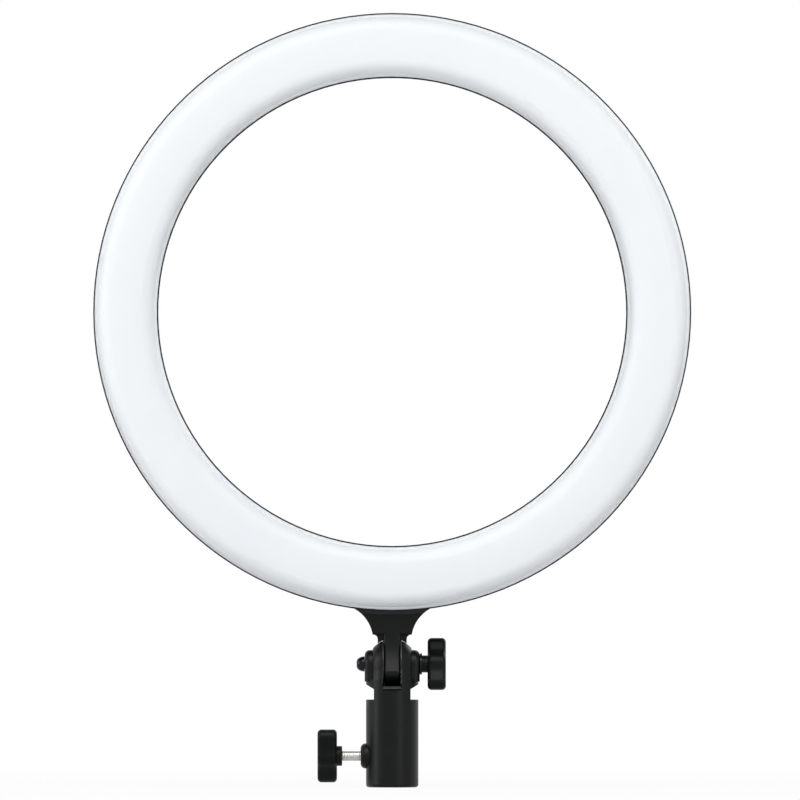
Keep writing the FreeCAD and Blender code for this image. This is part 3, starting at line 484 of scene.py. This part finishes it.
def opal_acrylic():
    """Injection-moulded opal acrylic: milky white, satin, with light spreading a little inside it."""
    material, tree, shader, place = new_material("acrylic_opal_moulded")
    tone(tree, shader, noise(tree, place, opal_cloud), ("#F1F4F8", "#F3F6F9"))
    shader.inputs["Roughness"].default_value = 0.52
    shader.inputs["Specular IOR Level"].default_value = 0.3
    shader.inputs["Subsurface Weight"].default_value = 0.3
    shader.inputs["Subsurface Radius"].default_value = (1.0, 1.0, 1.0)
    shader.inputs["Subsurface Scale"].default_value = opal_scatter
    relief(tree, shader, noise(tree, place, opal_grain), opal_grain_depth)
    return material


def turned_metal(name, colours, roughness, streak):
    """Turned metal: an even shade, with faint streaks round an axis along X."""
    material, tree, shader, place = new_material(name)
    shader.inputs["Metallic"].default_value = 1.0
    scale = (1.0, lathe_stretch, lathe_stretch)
    lathe = add(tree, "ShaderNodeMapping", {"Vector": place}, {"Scale": scale})
    lines = noise(tree, lathe.outputs["Vector"], streak)
    tone(tree, shader, noise(tree, place, metal_cloud), colours)
    tree.links.new(stretch(tree, lines, *roughness), shader.inputs["Roughness"])
    relief(tree, shader, lines, lathe_depth)
    return material


def plain_surface(name, colours, roughness, grain, depth):
    """Moulded, coated or printed surface with a slightly uneven tone and a fine grain."""
    material, tree, shader, place = new_material(name)
    tone(tree, shader, noise(tree, place, plain_cloud), colours)
    shader.inputs["Roughness"].default_value = roughness
    relief(tree, shader, noise(tree, place, grain), depth)
    return material


materials = {
    # Nylon from a spark-eroded mould, on the socket and the neck: near black, with a soft broad sheen
    "black_nylon": moulded_plastic(
        "nylon_moulded_satin", ("#0A0B0C", "#0E0F10"), roughness=(0.34, 0.42),
        grain=0.35 * MM, depth=0.015 * MM, level=0.15),
    # Nylon of the knobs, worn smooth by hands: as dark, finer grain, a weaker sheen
    "black_knob_nylon": moulded_plastic(
        "nylon_moulded_handled", ("#0B0C0D", "#0F1011"), roughness=(0.34, 0.42),
        grain=0.5 * MM, depth=0.008 * MM, level=0.1),
    # ABS from a coarse mould, on the housing and the control box: matte charcoal
    "black_abs": moulded_plastic(
        "abs_moulded_matte", ("#111214", "#151618"), roughness=(0.44, 0.52),
        grain=0.45 * MM, depth=0.025 * MM, level=0.28),
    "opal_acrylic": opal_acrylic(),
    # Zinc plated steel: pale grey, light catches its threads
    "zinc_plated_steel": turned_metal(
        "steel_zinc_plated", ("#AEAFAA", "#BEBFBA"), roughness=(0.32, 0.38), streak=0.2 * MM),
    # Steel blackened in an oxide bath: dark, with sharp small highlights
    "black_oxide_steel": turned_metal(
        "steel_black_oxide", ("#202123", "#2B2C2E"), roughness=(0.14, 0.22), streak=0.3 * MM),
    # Turned brass, left bare: warm yellow, bright
    "brass": turned_metal("brass_turned", ("#B8924A", "#C7A25A"), roughness=(0.2, 0.34), streak=0.2 * MM),
    # Washers punched from acetal sheet: dull black
    "black_acetal": plain_surface(
        "acetal_punched_sheet", ("#0B0C0D", "#0F1011"), roughness=0.5, grain=0.3 * MM, depth=0.01 * MM),
    # Lamp board under white solder mask: bright and slightly glossy
    "white_board": plain_surface(
        "board_white_mask", ("#E2E3E0", "#EAEBE8"), roughness=0.3, grain=0.5 * MM, depth=0.005 * MM),
    # Control board under green solder mask: deep green, slightly glossy
    "green_board": plain_surface(
        "board_green_mask", ("#0E4A26", "#12562D"), roughness=0.28, grain=0.5 * MM, depth=0.008 * MM),
    # Cool lamps under cast phosphor: lemon yellow, smooth
    "led_cool": plain_surface(
        "lamp_cool_phosphor", ("#E6E06A", "#EEE98A"), roughness=0.25, grain=0.4 * MM, depth=0.005 * MM),
    # Warm lamps under cast phosphor: orange, smooth
    "led_warm": plain_surface(
        "lamp_warm_phosphor", ("#E0962E", "#E8A848"), roughness=0.25, grain=0.4 * MM, depth=0.005 * MM),
    # Extruded soft insulation of the wires: dull red
    "wire_insulation": plain_surface(
        "wire_soft_insulation", ("#8E1512", "#9C1C17"), roughness=0.5, grain=0.3 * MM, depth=0.01 * MM),
    # Moulded body of the power inlet: black, half glossy
    "black_jack": plain_surface(
        "jack_moulded_black", ("#0F1011", "#131415"), roughness=0.35, grain=0.4 * MM, depth=0.01 * MM),
    # Moulded satin button: a grey that stands out from the box
    "button_plastic": plain_surface(
        "button_moulded_satin", ("#222325", "#28292B"), roughness=0.38, grain=0.35 * MM, depth=0.012 * MM),
    # Printed white ink: flat and even
    "white_print": plain_surface(
        "ink_white_printed", ("#D9DADA", "#E4E5E5"), roughness=0.45, grain=0.3 * MM, depth=0.004 * MM),
}


def dress_nodes():
    """Gives each node the material of its slot in the record."""
    for part in frame["record"]["subparts"]:
        mesh = nodes[part["node"]].data
        mesh.materials.clear()
        mesh.materials.append(materials[part["material_slot"]])


# Studio


def seen_directly(tree):
    """Share that is 1 for rays seen by the camera, in gloss or through glass, and 0 for the others."""
    path = add(tree, "ShaderNodeLightPath")
    share = path.outputs["Is Camera Ray"]
    for ray in ("Is Glossy Ray", "Is Transmission Ray"):
        links = {0: share, 1: path.outputs[ray]}
        share = add(tree, "ShaderNodeMath", links, operation="MAXIMUM").outputs[0]
    return share


def studio_floor():
    """Pale card under the socket's mouth, mostly glowing where seen, so that only the shadow shows."""
    half = floor_size / 2
    corners = [(-half, -half, 0), (half, -half, 0), (half, half, 0), (-half, half, 0)]
    mesh = bpy.data.meshes.new("floor")
    mesh.from_pydata(corners, [], [(0, 1, 2, 3)])
    material = bpy.data.materials.new("card_white_matte")
    material.use_nodes = True
    tree = material.node_tree
    tree.nodes.clear()
    card = add(tree, "ShaderNodeBsdfDiffuse", None, {"Color": srgb("#E4E4E4")})
    glow = add(tree, "ShaderNodeEmission", None, {"Color": srgb("#FFFFFF"), "Strength": 1.0})
    place = add(tree, "ShaderNodeTexCoord").outputs["Object"]
    away = add(tree, "ShaderNodeVectorMath", {0: place}, operation="LENGTH").outputs["Value"]
    fade = {"From Min": fade_start, "From Max": fade_end, "To Min": floor_glow, "To Max": 1.0}
    glowing = add(tree, "ShaderNodeMapRange", {"Value": away}, fade).outputs["Result"]
    links = {0: seen_directly(tree), 1: glowing}
    most = add(tree, "ShaderNodeMath", links, operation="MULTIPLY").outputs[0]
    mixed = add(tree, "ShaderNodeMixShader", {0: most, 1: card.outputs[0], 2: glow.outputs[0]})
    add(tree, "ShaderNodeOutputMaterial", {"Surface": mixed.outputs[0]})
    mesh.materials.append(material)
    floor = bpy.data.objects.new("floor", mesh)
    bpy.context.scene.collection.objects.link(floor)


def studio_world():
    """Dim even room light, and white where it is seen."""
    world = bpy.data.worlds.new("studio")
    bpy.context.scene.world = world
    world.use_nodes = True
    tree = world.node_tree
    tree.nodes.clear()
    soft = add(tree, "ShaderNodeBackground", None, {"Color": srgb("#F4F7FA"), "Strength": room_light})
    white = add(tree, "ShaderNodeBackground", None, {"Color": srgb("#FFFFFF"), "Strength": 1.0})
    links = {0: seen_directly(tree), 1: soft.outputs[0], 2: white.outputs[0]}
    mixed = add(tree, "ShaderNodeMixShader", links)
    add(tree, "ShaderNodeOutputWorld", {"Surface": mixed.outputs[0]})


def softbox(name, place, aim_z, size, power):
    """Rectangular lamp at a place, aimed at a height on the object's axis, its power in watts."""
    lamp = bpy.data.lights.new(name, "AREA")
    lamp.shape = "RECTANGLE"
    lamp.size, lamp.size_y = size
    lamp.energy = power
    holder = bpy.data.objects.new(name, lamp)
    bpy.context.scene.collection.objects.link(holder)
    holder.location = place
    aim = Vector((0, 0, aim_z)) - Vector(place)
    holder.rotation_euler = aim.to_track_quat("-Z", "Y").to_euler()


def studio_lights():
    """Large softbox overhead in front, a lamp behind, a strip at the left, a weak card at the right."""
    ring_aim = ring_z * 0.75
    softbox("key_overhead", place=(0.15, -2.12, 2.65), aim_z=ring_aim, size=(2.6, 1.7), power=65)
    softbox("back_fill", place=(1.7, 1.9, 1.0), aim_z=ring_aim, size=(1.2, 1.2), power=11)
    softbox("strip_left", place=(-1.15, -0.27, 0.3), aim_z=0.08, size=(0.3, 0.7), power=4.8)
    softbox("card_right", place=(0.8, -1.1, 0.3), aim_z=0.1, size=(0.25, 0.8), power=3.4)


def studio_camera():
    """Level camera in front of the ring, with the ring's middle on its pixel."""
    camera = bpy.data.cameras.new("camera")
    camera.sensor_width = sensor_width
    camera.lens = sensor_width * (camera_distance + rim_y) / view_width
    camera.clip_end = camera_reach
    holder = bpy.data.objects.new("camera", camera)
    bpy.context.scene.collection.objects.link(holder)
    pixel = view_width / frame_pixels
    right = (frame_pixels / 2 - ring_pixel[0]) * pixel
    down = (frame_pixels / 2 - ring_pixel[1]) * pixel
    holder.location = (right, -camera_distance, ring_z - down)
    holder.rotation_euler = (math.pi / 2, 0, 0)
    bpy.context.scene.camera = holder


dress_nodes()
clamp_screw()
pivot_bolt()
friction_washers()
thrust_washer()
back_screws("housing_screws")
back_screws("cover_screws")
dial_marks()
studio_floor()
studio_world()
studio_lights()
studio_camera()
bpy.context.scene.view_settings.view_transform = "Standard"
